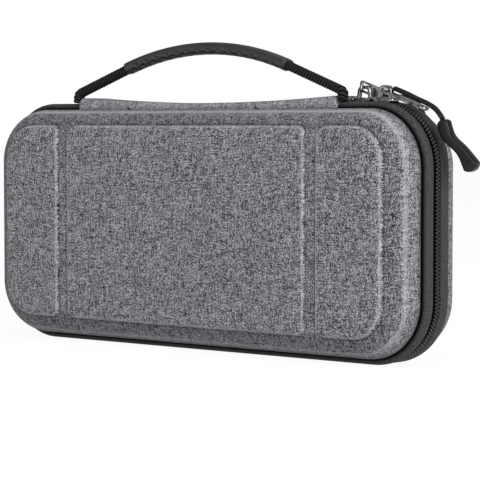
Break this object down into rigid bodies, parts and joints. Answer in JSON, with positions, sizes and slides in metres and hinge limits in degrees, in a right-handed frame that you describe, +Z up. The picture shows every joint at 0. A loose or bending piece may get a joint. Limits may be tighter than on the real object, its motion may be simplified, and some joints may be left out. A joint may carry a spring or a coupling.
{
  "type": "portable game console case",
  "caption": "Rounded hard-shell carrying case that stands on its long edge, with a zipper round three sides, a padded spine with a gripped handle, and a fitted tray inside.",
  "frame": {"origin": "under the middle of the case, on the ground plane that the zipper's lower edge meets", "axes": "+X along the case, the panelled front faces -Y, +Z up towards the handle"},
  "size_m": [0.2803, 0.0606, 0.1504],
  "materials": {
    "shell_cloth": "heather weave over moulded foam",
    "zip_tape": "woven",
    "zip_coil": "satin",
    "binding": "woven",
    "lining": "brushed",
    "mesh": "knitted net",
    "webbing": "ribbed weave",
    "grip_rubber": "satin",
    "dark_metal": "dark nickel",
    "cord": "braided"
  },
  "bodies": {
    "back_half": {"back_shell": "shell_cloth", "console_tray": "lining", "back_tape": "zip_tape", "back_coil": "zip_coil", "back_binding": "binding"},
    "spine": {"spine_band": "shell_cloth", "right_end_tape": "zip_tape", "left_end_tape": "zip_tape", "right_end_coil": "zip_coil", "left_end_coil": "zip_coil", "right_end_stop": "dark_metal", "left_end_stop": "dark_metal", "handle_webbing": "webbing", "handle_grip": "grip_rubber", "slider_1": "dark_metal", "slider_2": "dark_metal"},
    "front_half": {"front_shell": "shell_cloth", "front_tape": "zip_tape", "front_coil": "zip_coil", "front_binding": "binding", "mesh_pocket": "mesh", "pocket_elastic": "binding", "card_flap": "lining", "card_pockets": "mesh"},
    "inner_pull": {"pull_tab_1": "dark_metal", "pull_cord_1": "cord", "pull_end_1": "grip_rubber"},
    "outer_pull": {"pull_tab_2": "dark_metal", "pull_cord_2": "cord", "pull_end_2": "grip_rubber"}
  },
  "joints": [
    {"name": "spine_fold", "type": "hinge", "parent": "back_half", "child": "spine", "pos_m": [0, 0.0107, 0.1182], "axis": [-1, 0, 0], "range_deg": [0, 90]},
    {"name": "lid_fold", "type": "hinge", "parent": "spine", "child": "front_half", "pos_m": [0, -0.0107, 0.1182], "axis": [-1, 0, 0], "range_deg": [0, 90]},
    {"name": "inner_pull_swing", "type": "hinge", "parent": "spine", "child": "inner_pull", "pos_m": [0.0892, 0, 0.12765], "axis": [-1, 0, 0], "range_deg": [-90, 0]},
    {"name": "outer_pull_swing", "type": "hinge", "parent": "spine", "child": "outer_pull", "pos_m": [0.10009, 0, 0.12574], "axis": [0, -1, 0], "range_deg": [0, 110]}
  ],
  "couplings": [
    {"joint": "inner_pull_swing", "follows": "spine_fold", "ratio": -1}
  ]
}
